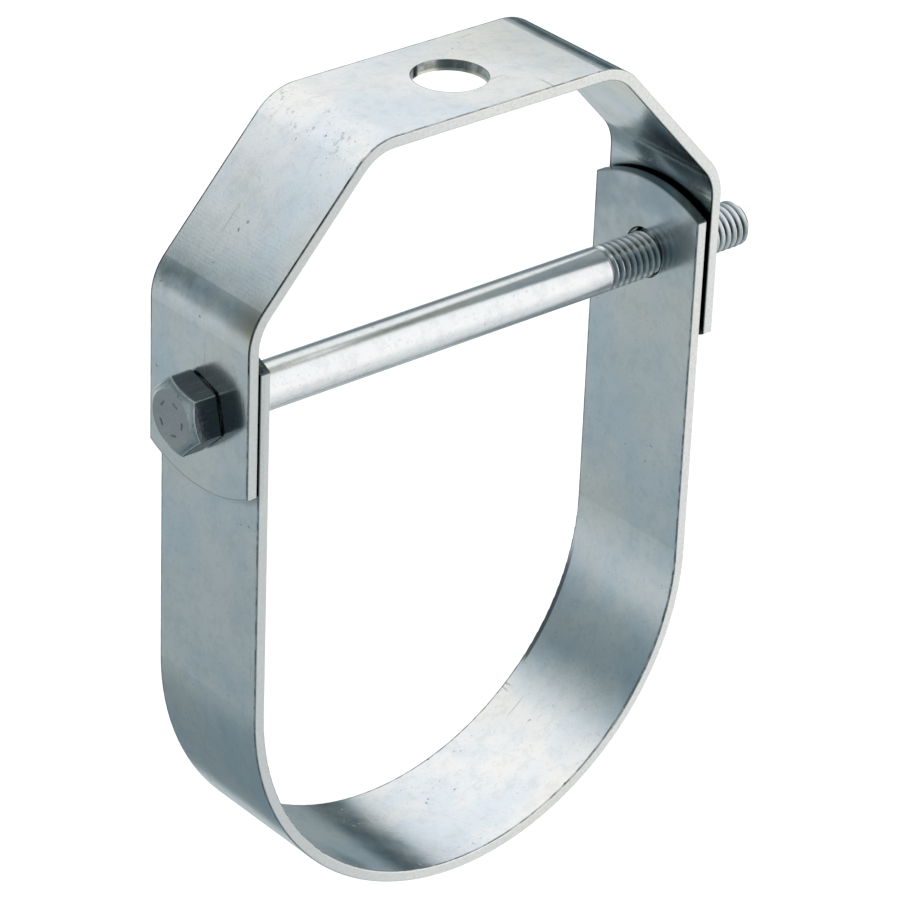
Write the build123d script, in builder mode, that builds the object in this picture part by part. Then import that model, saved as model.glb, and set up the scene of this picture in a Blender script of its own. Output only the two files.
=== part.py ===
from build123d import *
import math
import os

os.makedirs("parts", exist_ok=True)

# Clevis pipe hanger in millimetres. +Z is up, X runs along the cross bolt with its head at -X,
# and the origin is on the rod hole's axis, at the upper face of the yoke's top plate.

# strip that both bent pieces are made of
sheet = 2.3
strip_width = 30.5
edge_round = 0.3

# pipe and the strap that carries it
pipe_diameter = 101.6
pipe_clearance = 2.25
bolt_to_pipe_centre = 61.9
strap_top_above_bolt = 12.65
strap_hole_diameter = 10.8
strap_lift = 0.4
strap_shift = -0.35

# yoke
side_gap = 0.75
bolt_below_plate = 52.7
knee_above_bolt = 21.9
plate_half_length = 30.5
inner_bend_radius = 9.6
leg_end_below_bolt = 12.75
rod_hole_diameter = 15.0
yoke_hole_diameter = 10.3

# leg ends of both bent pieces bow out by this much in the middle
end_bow = 3.85

# cross bolt, 3/8 inch with 16 threads per inch
bolt_diameter = 9.525
bolt_length = 136.5
head_across_flats = 14.0
head_height = 6.4
head_turn = 16.3
head_face_share = 0.81
head_chamfer_angle = 30.0
washer_face_share = 0.94
washer_face_height = 0.4
head_gap = 0.05
tip_chamfer = 1.1

strap_radius = pipe_diameter / 2 + pipe_clearance + sheet
strap_centre_z = -bolt_below_plate - bolt_to_pipe_centre
yoke_half_width = strap_radius + side_gap + sheet
bend_radius = inner_bend_radius + sheet


def make_yoke():
    """One strip folded into a flat plate, two sloped shoulders and two legs."""
    knee_z = knee_above_bolt - bolt_below_plate
    leg_end_z = -bolt_below_plate - leg_end_below_bolt
    with BuildSketch(Plane.XZ) as section:
        with BuildLine():
            FilletPolyline(
                (-yoke_half_width, leg_end_z - end_bow),
                (-yoke_half_width, knee_z),
                (-plate_half_length, 0),
                (plate_half_length, 0),
                (yoke_half_width, knee_z),
                (yoke_half_width, leg_end_z - end_bow),
                radius=bend_radius,
            )
            offset(amount=sheet, side=Side.RIGHT)
        make_face()
    with BuildSketch(Plane.YZ) as outline:
        with BuildLine():
            Polyline(
                (-strip_width / 2, leg_end_z),
                (-strip_width / 2, sheet),
                (strip_width / 2, sheet),
                (strip_width / 2, leg_end_z),
            )
            ThreePointArc(
                (strip_width / 2, leg_end_z),
                (0, leg_end_z - end_bow),
                (-strip_width / 2, leg_end_z),
            )
        make_face()
    with BuildSketch(Plane.YZ) as bolt_hole:
        with Locations((0, -bolt_below_plate)):
            Circle(yoke_hole_diameter / 2)
    with BuildSketch(Plane.XY) as rod_hole:
        Circle(rod_hole_diameter / 2)
    with BuildPart() as yoke:
        extrude(section.sketch, amount=strip_width / 2, both=True)
        extrude(outline.sketch, amount=2 * yoke_half_width, both=True, mode=Mode.INTERSECT)
        fillet(yoke.edges().filter_by(is_strip_edge), radius=edge_round)
        extrude(bolt_hole.sketch, amount=2 * yoke_half_width, both=True, mode=Mode.SUBTRACT)
        extrude(rod_hole.sketch, amount=-2 * sheet, mode=Mode.SUBTRACT)
    return yoke


def is_strip_edge(edge):
    """True for the long edges of a bent strip, which lie in one of its two side planes."""
    box = edge.bounding_box()
    flat = box.max.Y - box.min.Y < 1e-6
    thin = box.size.length < sheet * 1.01
    return flat and not thin


def make_strap():
    """One strip bent into a U, whose legs stand inside the yoke's legs."""
    top_z = strap_top_above_bolt - bolt_below_plate
    left_x = strap_shift - strap_radius
    right_x = strap_shift + strap_radius
    with BuildSketch(Plane.XZ) as section:
        with BuildLine():
            Line((left_x, top_z + end_bow), (left_x, strap_centre_z))
            ThreePointArc(
                (left_x, strap_centre_z),
                (strap_shift, strap_centre_z - strap_radius),
                (right_x, strap_centre_z),
            )
            Line((right_x, strap_centre_z), (right_x, top_z + end_bow))
            offset(amount=sheet, side=Side.LEFT)
        make_face()
    with BuildSketch(Plane.YZ) as outline:
        with BuildLine():
            Polyline(
                (-strip_width / 2, top_z),
                (-strip_width / 2, strap_centre_z - strap_radius - sheet),
                (strip_width / 2, strap_centre_z - strap_radius - sheet),
                (strip_width / 2, top_z),
            )
            ThreePointArc(
                (strip_width / 2, top_z),
                (0, top_z + end_bow),
                (-strip_width / 2, top_z),
            )
        make_face()
    with BuildSketch(Plane.YZ) as bolt_hole:
        with Locations((0, strap_lift - bolt_below_plate)):
            Circle(strap_hole_diameter / 2)
    with BuildPart() as strap:
        extrude(section.sketch, amount=strip_width / 2, both=True)
        extrude(outline.sketch, amount=2 * strap_radius, both=True, mode=Mode.INTERSECT)
        fillet(strap.edges().filter_by(is_strip_edge), radius=edge_round)
        extrude(bolt_hole.sketch, amount=2 * strap_radius, both=True, mode=Mode.SUBTRACT)
    return strap


def make_bolt():
    """Hexagon-head bolt along X, with its thread left as a plain cylinder of the outside diameter.

    The head has a chamfered face and, under it, the thin round washer face that bears on the leg.
    """
    bearing_x = -yoke_half_width - head_gap
    tip_x = bearing_x + bolt_length
    face_radius = head_across_flats / 2 * head_face_share
    washer_radius = head_across_flats / 2 * washer_face_share
    underside_x = bearing_x - washer_face_height
    corner_radius = head_across_flats / math.sqrt(3)
    slope = math.tan(math.radians(head_chamfer_angle))
    chamfer_depth = (corner_radius - face_radius) * slope
    with BuildSketch(Plane.YZ.offset(bearing_x)) as hexagon:
        with Locations((0, -bolt_below_plate)):
            RegularPolygon(
                radius=head_across_flats / 2,
                side_count=6,
                major_radius=False,
                rotation=head_turn,
            )
    with BuildSketch(Plane.XZ) as envelope:
        with BuildLine():
            Polyline(
                (bearing_x, -bolt_below_plate),
                (bearing_x, washer_radius - bolt_below_plate),
                (underside_x, washer_radius - bolt_below_plate),
                (underside_x, corner_radius - bolt_below_plate),
                (bearing_x - head_height + chamfer_depth, corner_radius - bolt_below_plate),
                (bearing_x - head_height, face_radius - bolt_below_plate),
                (bearing_x - head_height, -bolt_below_plate),
                close=True,
            )
        make_face()
    with BuildSketch(Plane.YZ.offset(bearing_x)) as shank:
        with Locations((0, -bolt_below_plate)):
            Circle(bolt_diameter / 2)
    axis = Axis((0, 0, -bolt_below_plate), (1, 0, 0))
    with BuildPart() as bolt:
        extrude(hexagon.sketch, amount=-head_height)
        revolve(envelope.sketch, axis=axis, mode=Mode.INTERSECT)
        extrude(shank.sketch, amount=bolt_length)
        chamfer(bolt.edges().group_by(Axis.X)[-1], length=tip_chamfer)
    return bolt


yoke = make_yoke()
yoke.part.label = "upper_yoke"
export_step(yoke.part, "parts/upper_yoke.step")

strap = make_strap()
strap.part.label = "lower_strap"
export_step(strap.part, "parts/lower_strap.step")

bolt = make_bolt()
bolt.part.label = "cross_bolt"
export_step(bolt.part, "parts/cross_bolt.step")
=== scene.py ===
import math
import bmesh
import bpy
from mathutils import Euler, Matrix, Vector


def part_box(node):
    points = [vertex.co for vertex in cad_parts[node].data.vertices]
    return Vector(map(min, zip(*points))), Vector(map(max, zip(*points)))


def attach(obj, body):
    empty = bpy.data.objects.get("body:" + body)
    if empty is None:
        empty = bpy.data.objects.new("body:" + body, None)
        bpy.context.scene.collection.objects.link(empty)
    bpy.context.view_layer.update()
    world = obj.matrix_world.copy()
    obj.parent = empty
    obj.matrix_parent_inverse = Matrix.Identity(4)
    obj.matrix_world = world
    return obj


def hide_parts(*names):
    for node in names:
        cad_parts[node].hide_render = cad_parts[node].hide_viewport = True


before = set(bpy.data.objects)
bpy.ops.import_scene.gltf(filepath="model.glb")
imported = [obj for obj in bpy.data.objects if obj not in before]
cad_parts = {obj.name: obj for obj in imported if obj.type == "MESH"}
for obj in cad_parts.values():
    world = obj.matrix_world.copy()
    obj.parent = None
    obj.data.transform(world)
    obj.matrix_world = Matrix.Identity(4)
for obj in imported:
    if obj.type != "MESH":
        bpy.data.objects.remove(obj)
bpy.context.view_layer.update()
mm = 0.001


class Value:  # a shader socket that adds Math nodes when it is used in a sum
    def __init__(self, tree, socket):
        self.tree = tree
        self.socket = socket

    def math(self, operation, *terms):
        node = self.tree.nodes.new("ShaderNodeMath")
        node.operation = operation
        for entry, term in zip(node.inputs, terms):
            if isinstance(term, Value):
                self.tree.links.new(term.socket, entry)
            else:
                entry.default_value = term
        return Value(self.tree, node.outputs[0])

    def __add__(self, other):
        return self.math("ADD", self, other)

    def __radd__(self, other):
        return self.math("ADD", other, self)

    def __sub__(self, other):
        return self.math("SUBTRACT", self, other)

    def __rsub__(self, other):
        return self.math("SUBTRACT", other, self)

    def __mul__(self, other):
        return self.math("MULTIPLY", self, other)

    def __rmul__(self, other):
        return self.math("MULTIPLY", other, self)

    def __pow__(self, other):
        return self.math("POWER", self, other)

    def __abs__(self):
        return self.math("ABSOLUTE", self)

    def sine(self):
        return self.math("SINE", self)

    def most(self, other):
        return self.math("MAXIMUM", self, other)

    def least(self, other):
        return self.math("MINIMUM", self, other)


class Shader:  # one material or world, filled node by node
    def __init__(self, owner):
        owner.use_nodes = True
        self.owner = owner
        self.tree = owner.node_tree
        self.tree.nodes.clear()

    def node(self, kind, settings=None, sockets=None, out=0):
        made = self.tree.nodes.new(kind)
        for name, setting in (settings or {}).items():
            if name == "stops":
                self.addStops(made.color_ramp, setting)
            else:
                setattr(made, name, setting)
        for name, source in (sockets or {}).items():
            entry = made.inputs[name]
            if isinstance(source, Value):
                self.tree.links.new(source.socket, entry)
            else:
                entry.default_value = source
        return Value(self.tree, made.outputs[out]) if made.outputs else None

    def addStops(self, ramp, stops):  # grey levels along a ramp
        while len(ramp.elements) > 1:
            ramp.elements.remove(ramp.elements[-1])
        for index, (place, level) in enumerate(stops):
            stop = ramp.elements[0] if index == 0 else ramp.elements.new(place)
            stop.position = place
            stop.color = (level, level, level, 1)

    def split(self, vector):
        return [self.node("ShaderNodeSeparateXYZ", None, {"Vector": vector}, axis) for axis in range(3)]

    def ease(self, value, low, high):  # 0 below low, 1 above high, smooth between
        ends = {"Value": value, "From Min": low, "From Max": high}
        return self.node("ShaderNodeMapRange", {"interpolation_type": "SMOOTHSTEP"}, ends)

    def band(self, value, rise, fall):  # 1 between two smooth ends
        return self.ease(value, *rise) * (1 - self.ease(value, *fall))

    def blend(self, amount, first, second):  # two colours
        first, second = ((*shade, 1) if isinstance(shade, tuple) else shade for shade in (first, second))
        sockets = {0: amount, 6: first, 7: second}
        return self.node("ShaderNodeMix", {"data_type": "RGBA"}, sockets, out=2)

    def noise(self, place, scale, detail=3, rough=0.5):
        sockets = {"Vector": place, "Scale": scale, "Detail": detail, "Roughness": rough}
        return self.node("ShaderNodeTexNoise", None, sockets)

    def stretch(self, place, scale, turn=(0, 0, 0), move=(0, 0, 0)):
        sockets = {"Vector": place, "Location": move, "Rotation": turn, "Scale": scale}
        return self.node("ShaderNodeMapping", None, sockets)

    def spot(self, seed):  # a point in millimetres, and the place that this piece's noises read
        place = self.node("ShaderNodeTexCoord", out=3)
        x, y, z = (part * (1 / mm) for part in self.split(place))
        return x, y, z, self.stretch(place, (1, 1, 1), move=(seed, seed * 0.7, seed * 1.3))


def squared(value):
    return value * value


def distance(first, second):
    return (squared(first) + squared(second)) ** 0.5


# zinc-plated steel

stripLook = {
    "cool": (0.755, 0.825, 0.875),
    "pale": (0.895, 0.90, 0.885),
    "warm": (0.89, 0.855, 0.76),
    "rose": (0.83, 0.80, 0.85),
    "frosted": (0.42, 0.47, 0.50),
    "scratch": (0.40, 0.43, 0.45),
    # dark for soot, specks and dirt, and also for painted shade lines along edges and a painted shade band
    # on the head
    "sootAndShade": (0.05, 0.055, 0.06),
    "cut": (0.945, 0.935, 0.90),
    "cutShade": (0.80, 0.80, 0.77),
    "cutLeftShade": (0.46, 0.50, 0.51),
    "boredShade": (0.16, 0.165, 0.15),
    "rust": (0.50, 0.42, 0.31),
    # painted highlight and painted shade for the yoke's inner shoulders
    "insideTopHighlight": (0.93, 0.87, 0.72),
    "insideLowShade": (0.13, 0.20, 0.22),
    "strapTopShade": (0.30, 0.385, 0.46),
    "overlapShade": (0.14, 0.17, 0.18),
    "roughness": 0.17,
    "wave": 0.30,  # how far the sheet is from flat
    "drawn": (1, 1, 1),  # clouds run long where this is small
    "tinted": 1.0,  # how much of the warm and rose tints shows
    "scratched": 0.4,
}
roughest = 0.75
shares = {  # how strongly each mark, painted shade and painted highlight covers the zinc
    "warm": 0.45,
    "rose": 0.30,
    "frost": 0.17,
    "flecks": 0.26,
    "specks": 0.6,
    "dirt": (0.12, 0.30),  # everywhere, and more towards +Y
    "spots": 0.5,
    "smudge": 0.35,
    "rust": 0.7,
    "bored": (0.45, 0.35),  # everywhere, and more in blotches
    "insideTopHighlight": 0.75,
    "insideLowShade": 0.08,
    "strapTopShade": 0.55,
    "overlap": 0.85,
    "contactShadow": 0.45,
    "burrShade": (0.32, 0.40, 0.5),  # everywhere, in blotches, and along the bends
    "shadeLine": 0.35,
    "rolled": 0.75,
    "cutLeftShade": 0.50,
    "side": 0.9,
    "end": 0.8,
    "root": 0.80,
    "flats": 0.95,
    "pits": 0.6,
    "raised": 0.7,
    "slantedShade": 0.30,
    "edgeGlint": 0.9,
}


def finish(s, base, rough, height):
    normal = s.node("ShaderNodeBump", None, {"Strength": 1.0, "Distance": mm, "Height": height})
    skin = {"Base Color": base, "Metallic": 1.0, "Roughness": rough.least(roughest), "Normal": normal}
    surface = s.node("ShaderNodeBsdfPrincipled", None, skin)
    s.node("ShaderNodeOutputMaterial", None, {"Surface": surface})


def plating(s, look, place):  # clouded zinc with specks and scratches: colour, roughness and height
    drawn = s.stretch(place, look["drawn"])
    clouds = s.noise(drawn, 48, 4, 0.55)
    tints = s.noise(drawn, 26, 2, 0.5)
    veil = s.noise(s.stretch(drawn, (1, 1, 0.3)), 130, 5, 0.6)
    base = s.blend(s.ease(clouds * 0.7 + veil * 0.3, 0.40, 0.60), look["cool"], look["pale"])
    base = s.blend(s.ease(tints, 0.52, 0.68) * shares["warm"] * look["tinted"], base, look["warm"])
    base = s.blend(s.ease(1 - tints, 0.56, 0.72) * shares["rose"] * look["tinted"], base, look["rose"])
    frost = s.ease(s.noise(place, 330, 5, 0.7), 0.46, 0.66)
    flecks = s.ease(s.noise(place, 1300, 3, 0.6), 0.60, 0.68)
    base = s.blend((frost * shares["frost"]).most(flecks * shares["flecks"]), base, look["frosted"])
    long = s.noise(s.stretch(place, (50, 1500, 40), turn=(0.15, 0.3, 0.2)), 1.0, 2, 0.4)
    cross = s.noise(s.stretch(place, (900, 70, 60), turn=(0.2, 0.9, 0.4)), 1.0, 2, 0.4)
    lines = s.ease(long, 0.72, 0.76).most(s.ease(cross, 0.735, 0.77)) * s.ease(clouds, 0.44, 0.60)
    patches = s.ease(s.noise(place, 62, 2, 0.5), 0.52, 0.66)
    specks = s.ease(s.noise(place, 760, 3, 0.6), 0.66, 0.72) * patches
    base = s.blend(specks * shares["specks"], base, look["sootAndShade"])
    base = s.blend(lines * look["scratched"], base, look["scratch"])
    grain = s.noise(place, 2400, 3, 0.6)
    rough = look["roughness"] + (clouds - 0.5) * 0.10 + (veil - 0.5) * 0.22 + specks * 0.25 + lines * 0.1
    height = (s.noise(place, 50, 1, 0.4) - 0.5) * look["wave"] + grain * 0.009 + veil * 0.025
    return base, rough, height - specks * 0.015 - lines * 0.01


# yoke and strap, both in millimetres

yokeLow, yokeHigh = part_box("upper_yoke")
strapLow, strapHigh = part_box("lower_strap")
boltLow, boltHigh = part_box("cross_bolt")
stripPiece = {
    "sheet": 2.3,
    "halfWidth": yokeHigh[1] / mm,
    "endBow": 3.85,
    "legFace": yokeHigh[0] / mm,
    "plateHalf": 30.5,
    "kneeDrop": 30.8,
    "rodHole": 7.5,
}
# how the press left the yoke, from the top bend down the shoulder
pressLook = {
    "topTilt": 0.112,
    "topBow": 0.0013,
    "lastStretch": (26, 33),  # of the top plate, towards +X
    "lastBow": 0.010,
    "shoulderMiddle": 32,
    "shoulderBow": 0.0011,
    "upperEnd": 15,
    "upperBow": 0.0032,
    "lowerStart": 29,
    "lowerBow": 0.0012,
    "kneeStart": 37,
    "kneeBow": 0.0064,
    "linePitch": 0.86,
    "lineHeight": 0.0008,
    "lined": ((19, 27), (34, 38)),
    "fold": ((32, 40), (41, 45)),
    "topFold": ((-5, 0), (3, 8)),
    "burred": ((2, 12), (44, 52)),
}


def crown(x, down, knee, press):  # the bent plates are slightly crowned
    flat = x.most(-knee["flat"]).least(knee["flat"])
    turned = (x.least(press["lastStretch"][1]) - press["lastStretch"][0]).most(0)
    held = down.most(0).least(knee["length"])
    height = flat * press["topTilt"] - squared(flat) * press["topBow"] + squared(turned) * press["lastBow"]
    height = height - squared(held - press["shoulderMiddle"]) * press["shoulderBow"]
    height = height - squared((press["upperEnd"] - held).most(0)) * press["upperBow"]
    height = height - squared((held - press["lowerStart"]).most(0)) * press["lowerBow"]
    return height + squared((held - press["kneeStart"]).most(0)) * press["kneeBow"]


def bendMarks(s, look, form, at, base, height):  # press lines and dirt, painted shade in the rod hole, and the inner faces' painted highlight and shade
    x, y, z, shifted, side = (at[name] for name in ("x", "y", "z", "shifted", "side"))
    knee, press, down = form["knee"], form["press"], at["down"]
    depth = (abs(x) - knee["flat"]) * knee["along"] + z * knee["across"]
    bored = 1 - s.ease(distance(x, y), form["rodHole"] + 0.02, form["rodHole"] + 0.1)
    outside = s.ease(depth.most(z).most(abs(x) - knee["leg"]), -2.0, -1.5)
    outer = outside * (1 - side) * (1 - bored)
    within = (1 - outside) * (1 - side)
    lines = (down * (2 * math.pi / press["linePitch"]) + s.noise(shifted, 170, 2) * 7).sine()
    pressed = lines * s.band(down, *press["lined"]) * s.ease(at["blotch"], 0.3, 0.6) * press["lineHeight"]
    height = height + (crown(x, down, knee, press) + pressed) * outer
    fold = s.band(down, *press["fold"]) * outer
    smear = s.ease(s.noise(shifted, 150, 4, 0.65), 0.36, 0.62)
    evenDirt, moreDirt = shares["dirt"]
    dirt = fold * smear * (evenDirt + s.ease(y, -4, 12) * moreDirt)
    spots = fold * s.ease(s.noise(shifted, 900, 4, 0.7), 0.57, 0.64) * s.ease(y, 4, 15) * shares["spots"]
    smudge = s.band(down, *press["topFold"]) * s.ease(s.noise(shifted, 520, 4, 0.75), 0.57, 0.66)
    base = s.blend(dirt.most(spots).most(smudge * outer * shares["smudge"]), base, look["sootAndShade"])
    base = s.blend(fold * s.ease(0 - y, 4, 15) * shares["rust"], base, look["rust"])
    # painted shade on the rod hole's wall, heavier in blotches
    evenBored, moreBored = shares["bored"]
    holeShade = bored * (evenBored + s.ease(at["blotch"], 0.40, 0.60) * moreBored)
    base = s.blend(holeShade, base, look["boredShade"])
    # inside, the shoulders get a painted warm highlight at the top and painted shade lower down, where the
    # yoke faces the strap
    base = s.blend(within * (1 - s.ease(down, 9, 20)) * shares["insideTopHighlight"], base, look["insideTopHighlight"])
    insideShade = within * s.ease(down, 14, 34) * s.ease(8 - y, 0, 12)
    return s.blend(insideShade * shares["insideLowShade"], base, look["insideLowShade"]), height


def overlapShading(s, look, form, at, base):  # painted shade where one piece lies on the other, and a painted shadow line beside the other piece's end arc
    y, z = at["y"], at["z"]
    first, last = form["overlap"]
    other = form["other"]
    facing = s.band(abs(at["x"]), (first, first + 0.2), (last - 0.2, last))
    away = distance(y, z - other["centre"]) - other["radius"]
    past = s.ease((other["centre"] - z) * other["way"], 0, 1)
    shadedUnder = facing * (1 - s.ease(away, 0.1, 0.7)).most(past)
    base = s.blend(shadedUnder * shares["overlap"], base, look["overlapShade"])
    contactShadow = facing * s.band(away, (0.0, 0.4), (0.6, 2.2)) * (1 - past)
    return s.blend(contactShadow * shares["contactShadow"], base, look["overlapShade"])


def shearedEdges(s, look, form, at, base, rough, height):  # paler than the faces, with a painted shade line along the burr
    x, y, z, rim, side = (at[name] for name in ("x", "y", "z", "rim", "side"))
    centre, endRadius = form["endCentre"], form["endRadius"]
    reach = distance(y, z - centre) - endRadius
    low = s.ease((z - centre) * form["endWay"], endRadius * 0.5, endRadius * 0.6)
    end = s.ease(reach, -0.12, -0.03) * low
    burrShade = s.ease(rim, -0.60, -0.36) * (1 - side)
    evenBurr, blotchedBurr, bentBurr = shares["burrShade"]
    blotches = s.ease(at["blotch"], 0.42, 0.56)
    burrShade = burrShade * (evenBurr + blotches * blotchedBurr + at["burred"] * bentBurr).least(1)
    # painted shade line just inside this piece's own end arc, where its end meets the other piece
    shadeLine = s.ease(reach, -0.50, -0.25) * low * (1 - end) * shares["shadeLine"]
    if "rolled" in form:  # one edge is rolled over a little along the curve, drawn as a painted shade line
        first, last = form["rolled"]
        rolled = s.ease(rim, -1.45, -1.15) * s.ease(y, 0, 1) * s.ease(x, 0, 1) * (1 - side)
        shadeLine = shadeLine.most(rolled * s.band(z, (first - 1, first + 1), (last - 8, last)) * shares["rolled"])
    base = s.blend(burrShade.most(shadeLine), base, look["sootAndShade"])
    nap = s.noise(at["shifted"], 1500, 4, 0.7)
    edge = s.blend(s.ease(nap, 0.32, 0.66), look["cutShade"], look["cut"])
    # painted shade: the cut edges are greyer towards -X
    edge = s.blend(s.ease(0 - x, 0, 50) * shares["cutLeftShade"], edge, look["cutLeftShade"])
    base = s.blend(side * shares["side"], base, edge)
    # end faces take endShade: painted shade on the strap's top ends, the plain cut colour on the yoke's
    base = s.blend(end * shares["end"], base, form["endShade"])
    return base, rough + side * 0.25 + burrShade * 0.2, height + side * nap * 0.005


def stripZinc(name, look, seed, form):
    s = Shader(bpy.data.materials.new(name))
    x, y, z, shifted = s.spot(seed)
    base, rough, height = plating(s, look, shifted)
    rim = abs(y) - form["halfWidth"]
    at = {"x": x, "y": y, "z": z, "shifted": shifted, "rim": rim, "burred": 0}
    at["blotch"] = s.noise(shifted, 420, 4, 0.7)
    at["side"] = s.ease(rim, -0.16, -0.05)
    if "knee" in form:
        knee = form["knee"]
        at["down"] = (abs(x) - knee["flat"]) * knee["across"] - z * knee["along"]
        at["burred"] = s.band(at["down"], *form["press"]["burred"])
        base, height = bendMarks(s, look, form, at, base, height)
    else:  # the strap's upper ends get a bluer, darker painted shade below the yoke
        topShade = s.ease(z, -60, -46) * s.ease(s.noise(shifted, 60, 3, 0.6), 0.30, 0.60)
        base = s.blend(topShade * shares["strapTopShade"], base, look["strapTopShade"])
    base = overlapShading(s, look, form, at, base)
    base, rough, height = shearedEdges(s, look, form, at, base, rough, height)
    finish(s, base, rough, height)
    return s.owner


def makeForms(piece):  # what the two strips' materials have to know of their shape
    leg = piece["legFace"]
    slope = math.hypot(leg - piece["plateHalf"], piece["kneeDrop"])
    knee = {
        "flat": piece["plateHalf"],
        "across": (leg - piece["plateHalf"]) / slope,
        "along": piece["kneeDrop"] / slope,
        "length": slope,
        "leg": leg,
    }
    endRadius = (piece["halfWidth"] ** 2 + piece["endBow"] ** 2) / (2 * piece["endBow"])
    yokeEnd = yokeLow[2] / mm + endRadius
    strapEnd = strapHigh[2] / mm - endRadius
    strapFace = strapHigh[0] / mm
    yokeForm = {
        "knee": knee,
        "press": pressLook,
        "rodHole": piece["rodHole"],
        "halfWidth": piece["halfWidth"],
        "endShade": stripLook["cut"],
        "endRadius": endRadius,
        "endCentre": yokeEnd,
        "endWay": -1,
        "overlap": (leg - piece["sheet"] - 0.6, leg - piece["sheet"] + 0.5),
        "other": {"radius": endRadius, "centre": strapEnd, "way": 1},
    }
    strapForm = {
        "halfWidth": piece["halfWidth"],
        "rolled": (-150, -124),
        # painted shade: the strap's top ends sit in the yoke's shade
        "endShade": (0.10, 0.14, 0.155),
        "endRadius": endRadius,
        "endCentre": strapEnd,
        "endWay": 1,
        "overlap": (strapFace - 0.5, strapFace + 1.5),
        "other": {"radius": endRadius, "centre": yokeEnd, "way": -1},
    }
    return yokeForm, strapForm


yokeForm, strapForm = makeForms(stripPiece)
yokeZinc = stripZinc("stripZincYoke", stripLook, 3.0, yokeForm)
strapZinc = stripZinc("stripZincStrap", {**stripLook, "wave": 0.22}, 11.0, strapForm)
for nodeName, material in (("upper_yoke", yokeZinc), ("lower_strap", strapZinc)):
    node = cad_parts[nodeName]
    node.data.materials.clear()
    node.data.materials.append(material)
print("strips done")

# cross bolt with its rolled thread

boltPiece = {
    "radius": 4.7625 * mm,
    "pitch": 25.4 / 16 * mm,
    "threadDepth": 0.6134,  # as a share of the pitch
    "turns": 24,
    "spareTurns": 3,  # cut off again at both ends
    "runOut": 2.4 * mm,
    "steps": 72,
    "tipChamfer": 1.1 * mm,
    "intoHead": 1 * mm,
    "acrossFlats": 14.0 * mm,
    "headHeight": 6.4 * mm,
    "headTurn": math.radians(16.3),
    "headSteps": 96,
    "faceShare": 0.81,
    "washerShare": 0.94,
    "washerHeight": 0.4 * mm,
    "bars": 5,
    "barSize": (0.24 * mm, 1.5 * mm, 0.44 * mm),
    "barRing": 0.60,
    "barStart": 0.3,
    "chamferSlope": math.tan(math.radians(30)),
    "edgeSoftness": 0.14 * mm,
}
headX = boltLow[0] + boltPiece["headHeight"]  # the head's bearing face
axisZ = (boltLow[2] + boltHigh[2]) / 2
tipX = boltHigh[0]


def shankZinc(name, look, seed):
    s = Shader(bpy.data.materials.new(name))
    x, y, z, shifted = s.spot(seed)
    base, rough, height = plating(s, look, shifted)
    deep = 1 - s.ease(distance(y, z - axisZ / mm), look["root"], look["root"] + 0.6)
    base = s.blend(deep * shares["root"], base, look["rootShade"])  # dark between the thread's crests
    finish(s, base, rough, height)
    return s.owner


def headZinc(name, look, seed):
    s = Shader(bpy.data.materials.new(name))
    x, y, z, shifted = s.spot(seed)
    base, rough, height = plating(s, look, shifted)
    inner = boltPiece["acrossFlats"] / mm / 2
    across = z * 0
    for third in range(3):
        angle = boltPiece["headTurn"] + math.radians(30 + 60 * third)
        across = across.most(abs(y * math.cos(angle) + (z - axisZ / mm) * math.sin(angle)))
    # the flats get a painted dark reflection, with marks drawn along them, and a painted shade band against
    # the leg
    flats = s.ease(across, inner - 0.12, inner - 0.04)
    streak = s.noise(s.stretch(shifted, (160, 2400, 2400)), 1.0, 3, 0.6)
    paler = tuple(shade * 1.35 for shade in look["flats"])
    streaked = s.blend(s.ease(streak, 0.40, 0.62), look["flats"], paler)
    base = s.blend(flats * shares["flats"], base, streaked)
    # painted shade band at the head's bearing side
    base = s.blend(s.ease(x, headX / mm - 0.52, headX / mm - 0.38), base, look["sootAndShade"])
    # pits and raised bars are darker than the face, and the chamfer gets painted shade
    mottle = s.noise(shifted, 900, 4, 0.7)
    pits = s.ease(mottle, 0.56, 0.64) * (1 - flats) * s.ease(across, inner * 0.7, inner * 0.9)
    raised = s.ease(boltLow[0] / mm - x, -0.03, 0.02)
    slantedShade = s.ease(across, inner * 0.83, inner * 0.92) * (1 - flats)
    marksAndShade = (pits * shares["pits"]).most(raised * shares["raised"]).most(slantedShade * shares["slantedShade"])
    base = s.blend(marksAndShade, base, look["sootAndShade"])
    # painted glint: a pale line on the chamfer along the flats' edges
    edgeGlint = s.ease(across, inner - 0.42, inner - 0.30) * (1 - flats) * s.ease(mottle, 0.36, 0.46)
    base = s.blend(edgeGlint * shares["edgeGlint"], base, look["edgeGlint"])
    rough = rough + flats * (streak - 0.5) * 0.3 + (mottle - 0.5) * 0.3
    finish(s, base, rough, height + mottle * 0.03)
    return s.owner


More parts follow.
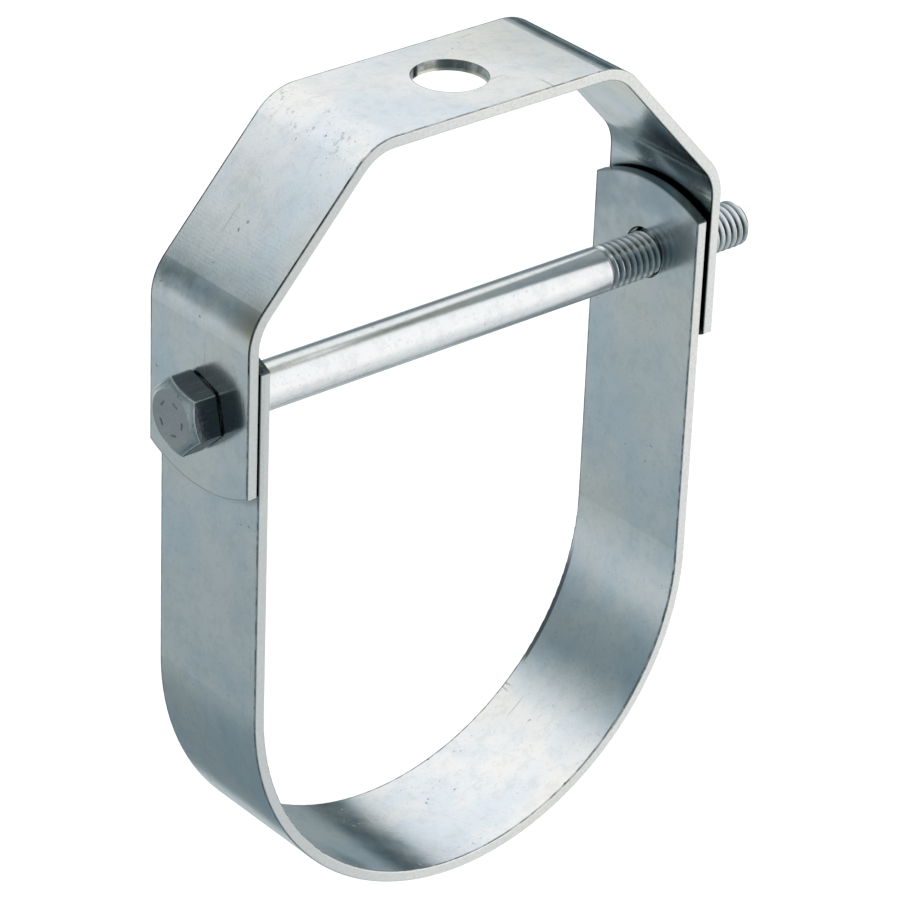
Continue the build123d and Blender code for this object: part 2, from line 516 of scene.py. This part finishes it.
def makeThread(bolt):
    bm = bmesh.new()
    pitch = bolt["pitch"]
    depth = bolt["threadDepth"] * pitch
    startX = tipX - bolt["turns"] * pitch
    # one pitch of the section: crest, flank, root, flank, as shares of pitch and depth
    shape = ((0.0, 0.0), (0.10, 0.0), (0.16, 0.10), (0.50, 0.92),
             (0.56, 1.0), (0.60, 1.0), (0.66, 0.92), (0.94, 0.10))
    line = []
    for turn in range(-bolt["spareTurns"], bolt["turns"] + bolt["spareTurns"]):
        for share, deep in shape:
            spot = (startX + (turn + share) * pitch, 0, bolt["radius"] - deep * depth)
            line.append(bm.verts.new(spot))
    edges = [bm.edges.new(pair) for pair in zip(line, line[1:])]
    steps = bolt["steps"]
    bmesh.ops.spin(bm, geom=line + edges, cent=(0, 0, 0), axis=(1, 0, 0), dvec=(pitch / steps, 0, 0),
                   angle=2 * math.pi, steps=steps, use_merge=False, use_duplicate=False)
    bmesh.ops.remove_doubles(bm, verts=bm.verts, dist=pitch * 0.004)
    for vert in bm.verts:
        radial = Vector((0, vert.co.y, vert.co.z))
        rise = max(0.0, min(1.0, (startX + bolt["runOut"] - vert.co.x) / bolt["runOut"]))
        radius = radial.length + (bolt["radius"] - radial.length) * rise
        radius = min(radius, bolt["radius"] - bolt["tipChamfer"] + (tipX - vert.co.x))
        radial = radial * (radius / radial.length)
        vert.co = (vert.co.x, radial.y, radial.z)
    both = bm.verts[:] + bm.edges[:] + bm.faces[:]
    bmesh.ops.bisect_plane(bm, geom=both, plane_co=(tipX, 0, 0), plane_no=(1, 0, 0), clear_outer=True)
    both = bm.verts[:] + bm.edges[:] + bm.faces[:]
    shankEnd = (startX - pitch, 0, 0)
    cut = bmesh.ops.bisect_plane(bm, geom=both, plane_co=shankEnd, plane_no=(-1, 0, 0), clear_outer=True)
    rim = [part for part in cut["geom_cut"] if isinstance(part, bmesh.types.BMEdge)]
    grown = bmesh.ops.extrude_edge_only(bm, edges=rim)["geom"]
    for vert in (part for part in grown if isinstance(part, bmesh.types.BMVert)):
        vert.co.x = headX - bolt["intoHead"]
    bmesh.ops.holes_fill(bm, edges=bm.edges, sides=0)
    return bm


def makeHead(bolt):
    bm = bmesh.new()
    inner = bolt["acrossFlats"] / 2
    face = inner * bolt["faceShare"]
    faceX = headX - bolt["headHeight"]
    made = bmesh.ops.create_circle(bm, cap_ends=True, segments=bolt["headSteps"], radius=face)
    bmesh.ops.rotate(bm, cent=(0, 0, 0), matrix=Euler((0, -math.pi / 2, 0)).to_matrix(), verts=made["verts"])
    bmesh.ops.translate(bm, vec=(faceX, 0, 0), verts=made["verts"])
    rim = bm.edges[:]
    for ring in ("chamfer", "underside", "washer", "bearing"):
        grown = bmesh.ops.extrude_edge_only(bm, edges=rim)["geom"]
        rim = [part for part in grown if isinstance(part, bmesh.types.BMEdge)]
        for vert in (part for part in grown if isinstance(part, bmesh.types.BMVert)):
            angle = math.atan2(vert.co.z, vert.co.y)
            fromFlat = (angle - bolt["headTurn"]) % (math.pi / 3) - math.pi / 6
            radius = inner / math.cos(fromFlat)
            if ring == "chamfer":
                vert.co.x = faceX + (radius - face) * bolt["chamferSlope"]
            elif ring == "underside":
                vert.co.x = headX - bolt["washerHeight"]
            else:
                radius = inner * bolt["washerShare"]
                vert.co.x = headX - (bolt["washerHeight"] if ring == "washer" else 0)
            vert.co.y = radius * math.cos(angle)
            vert.co.z = radius * math.sin(angle)
    bmesh.ops.holes_fill(bm, edges=rim, sides=0)
    for index in range(bolt["bars"]):  # plain raised bars round the face
        turn = 2 * math.pi * (index + bolt["barStart"]) / bolt["bars"]
        bar = bmesh.ops.create_cube(bm, size=1.0)["verts"]
        bmesh.ops.scale(bm, vec=bolt["barSize"], verts=bar)
        bmesh.ops.translate(bm, vec=(faceX, 0, face * bolt["barRing"]), verts=bar)
        bmesh.ops.rotate(bm, cent=(0, 0, 0), matrix=Euler((turn, 0, 0)).to_matrix(), verts=bar)
    return bm


def finishPiece(name, bm, material, smoothAngle=35):
    bmesh.ops.recalc_face_normals(bm, faces=bm.faces)
    for part in bm.faces:
        part.smooth = True
    mesh = bpy.data.meshes.new(name)
    bm.to_mesh(mesh)
    bm.free()
    mesh.materials.append(material)
    mesh.set_sharp_from_angle(angle=math.radians(smoothAngle))
    piece = bpy.data.objects.new(name, mesh)
    bpy.context.scene.collection.objects.link(piece)
    return piece


def softenEdges(piece, width, angle):
    softer = piece.modifiers.new("edges", "BEVEL")
    softer.width = width
    softer.segments = 3
    softer.limit_method = "ANGLE"
    softer.angle_limit = math.radians(angle)
    softer.harden_normals = True


shankLook = {
    **stripLook,
    "cool": (0.82, 0.86, 0.88),
    "pale": (0.92, 0.92, 0.915),
    "roughness": 0.24,
    "wave": 0.02,
    "drawn": (0.12, 1, 1),
    "tinted": 0.2,
    "scratched": 0.1,
    "root": boltPiece["radius"] / mm - 0.68,
    "rootShade": (0.09, 0.135, 0.155),
}
headLook = {
    **stripLook,
    "cool": (0.76, 0.80, 0.82),
    "pale": (0.90, 0.90, 0.89),
    "roughness": 0.20,
    "wave": 0.03,
    "tinted": 0.3,
    # painted dark reflection for the hex flats
    "flats": (0.068, 0.085, 0.092),
    "edgeGlint": (0.97, 0.96, 0.94),
}
thread = makeThread(boltPiece)
head = makeHead(boltPiece)
for part in (thread, head):
    bmesh.ops.translate(part, vec=(0, 0, axisZ), verts=part.verts)
shankPiece = finishPiece("bolt_shank", thread, shankZinc("boltZincShank", shankLook, 21.0))
headPiece = finishPiece("bolt_head", head, headZinc("boltZincHead", headLook, 25.0), smoothAngle=25)
softenEdges(headPiece, boltPiece["edgeSoftness"], 32)
for piece in (shankPiece, headPiece):
    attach(piece, "bolt")
    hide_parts("cross_bolt")
print("bolt done")

# floor, light and camera

studio = {
    "floorDrop": 60 * mm,
    "floorSize": 6.0,
    "floorColour": (0.93, 0.93, 0.93),
    "floorGlow": 0.6,  # what the camera sees of it as plain white
    # brightness round the object by height above the horizon in degrees
    "skyline": (
        (-90, 0.25), (-55, 0.24), (-40, 0.30), (-30, 0.50), (-18, 0.60), (-12, 0.58),
        (-8, 0.48), (-4, 0.39), (0, 0.34), (9, 0.28), (18, 0.27), (23, 0.35),
        (27, 0.60), (31, 0.82), (37, 0.93), (50, 1.02), (90, 0.95),
    ),
    "skylineTilt": 0.09,
    "tint": {"Red": 1.25, "Green": 1.06, "Blue": 1.0},  # what is dark is also colder
    # soft panels and gaps in it: direction, half size and softness in degrees, brightness
    "panels": (
        {"turn": 55, "rise": -12, "wide": 35, "tall": 16, "soft": 16, "level": 0.36},
        {"turn": 60, "rise": 13, "wide": 30, "tall": 7, "soft": 8, "level": 0.10},
        {"turn": 135, "rise": -26, "wide": 60, "tall": 27, "soft": 26, "level": 0.80},
        {"turn": 100, "rise": -64, "wide": 60, "tall": 16, "soft": 16, "level": 0.65},
        {"turn": 34, "rise": -38, "wide": 13, "tall": 10, "soft": 12, "level": 0.62},
        {"turn": 135, "rise": 16, "wide": 62, "tall": 36, "soft": 34, "level": 1.06},
        {"turn": -138, "rise": 8, "wide": 42, "tall": 36, "soft": 24, "level": 0.19},
        {"turn": -78, "rise": 50, "wide": 36, "tall": 22, "soft": 18, "level": 0.46},
    ),
    "middle": (0, 0, -0.085),  # what the lamps point at
    "lamps": (
        {"name": "softboxFront", "place": (-0.5, -1.1, 0.7), "size": (0.9, 0.7), "power": 14},
        {"name": "softboxTop", "place": (0.3, 0.5, 1.2), "size": (0.9, 0.9), "power": 12},
    ),
}


def panelMask(s, turn, rise, panel):
    half = panel["soft"] / 2
    off = abs(turn.math("WRAP", turn - panel["turn"], 180, -180))
    beside = 1 - s.ease(off, panel["wide"] - half, panel["wide"] + half)
    above = 1 - s.ease(abs(rise - panel["rise"]), panel["tall"] - half, panel["tall"] + half)
    return beside * above


def makeWorld(look):
    world = bpy.data.worlds.new("studio")
    bpy.context.scene.world = world
    s = Shader(world)
    x, y, z = s.split(s.node("ShaderNodeTexCoord", out=0))
    turn = x.math("ARCTAN2", x, y) * (180 / math.pi)
    rise = z.math("ARCSINE", z) * (180 / math.pi)
    stops = [((height + 90) / 180, level) for height, level in look["skyline"]]
    tilted = (rise + turn * look["skylineTilt"] + 90) * (1 / 180)
    level = s.node("ShaderNodeValToRGB", {"stops": stops}, {"Fac": tilted})
    for panel in look["panels"]:
        mask = panelMask(s, turn, rise, panel)
        level = level * (1 - mask) + mask * panel["level"]
    # white for the camera and for what is seen through a clear piece
    seen = s.node("ShaderNodeLightPath", out=0).most(s.node("ShaderNodeLightPath", out=6))
    channels = {name: seen + (1 - seen) * level ** power for name, power in look["tint"].items()}
    colour = s.node("ShaderNodeCombineColor", None, channels)
    back = s.node("ShaderNodeBackground", None, {"Color": colour, "Strength": 1.0})
    s.node("ShaderNodeOutputWorld", None, {"Surface": back})


def makeFloor(look):
    bm = bmesh.new()
    bmesh.ops.create_grid(bm, x_segments=1, y_segments=1, size=look["floorSize"] / 2)
    height = min(strapLow[2], yokeLow[2]) - look["floorDrop"]
    bmesh.ops.translate(bm, vec=(0, 0, height), verts=bm.verts)
    s = Shader(bpy.data.materials.new("floorPale"))
    rays = s.node("ShaderNodeLightPath", out=0)
    skin = {"Base Color": (*look["floorColour"], 1), "Roughness": 0.8, "Specular IOR Level": 0.1}
    paint = s.node("ShaderNodeBsdfPrincipled", None, skin)
    glow = s.node("ShaderNodeEmission", None, {"Color": (1, 1, 1, 1), "Strength": 1.0})
    mixed = s.node("ShaderNodeMixShader", None, {0: rays * look["floorGlow"], 1: paint, 2: glow})
    s.node("ShaderNodeOutputMaterial", None, {"Surface": mixed})
    floor = finishPiece("floor", bm, s.owner)
    floor.visible_glossy = False


def addLamp(look, aim):
    lamp = bpy.data.lights.new(look["name"], "AREA")
    lamp.shape = "RECTANGLE"
    lamp.size, lamp.size_y = look["size"]
    lamp.energy = look["power"]
    body = bpy.data.objects.new(look["name"], lamp)
    body.location = look["place"]
    body.rotation_mode = "QUATERNION"
    body.rotation_quaternion = (Vector(aim) - Vector(look["place"])).to_track_quat("-Z", "Y")
    body.visible_glossy = False
    bpy.context.scene.collection.objects.link(body)


cameraPlace = {
    "location": (-0.505565, -0.591465, 0.349174),
    "turn": (61.0828, -2.0241, -39.6151),
    "lens": 180.915,
    "sensor": 36,
    "near": 0.05,
    "far": 20,
}


def makeCamera(look):
    lens = bpy.data.cameras.new("camera")
    lens.lens = look["lens"]
    lens.sensor_width = look["sensor"]
    lens.clip_start, lens.clip_end = look["near"], look["far"]
    camera = bpy.data.objects.new("camera", lens)
    camera.location = look["location"]
    camera.rotation_euler = [math.radians(angle) for angle in look["turn"]]
    bpy.context.scene.collection.objects.link(camera)
    bpy.context.scene.camera = camera


makeWorld(studio)
makeFloor(studio)
for lampLook in studio["lamps"]:
    addLamp(lampLook, studio["middle"])
makeCamera(cameraPlace)
bpy.context.scene.view_settings.view_transform = "Standard"
print("studio done")
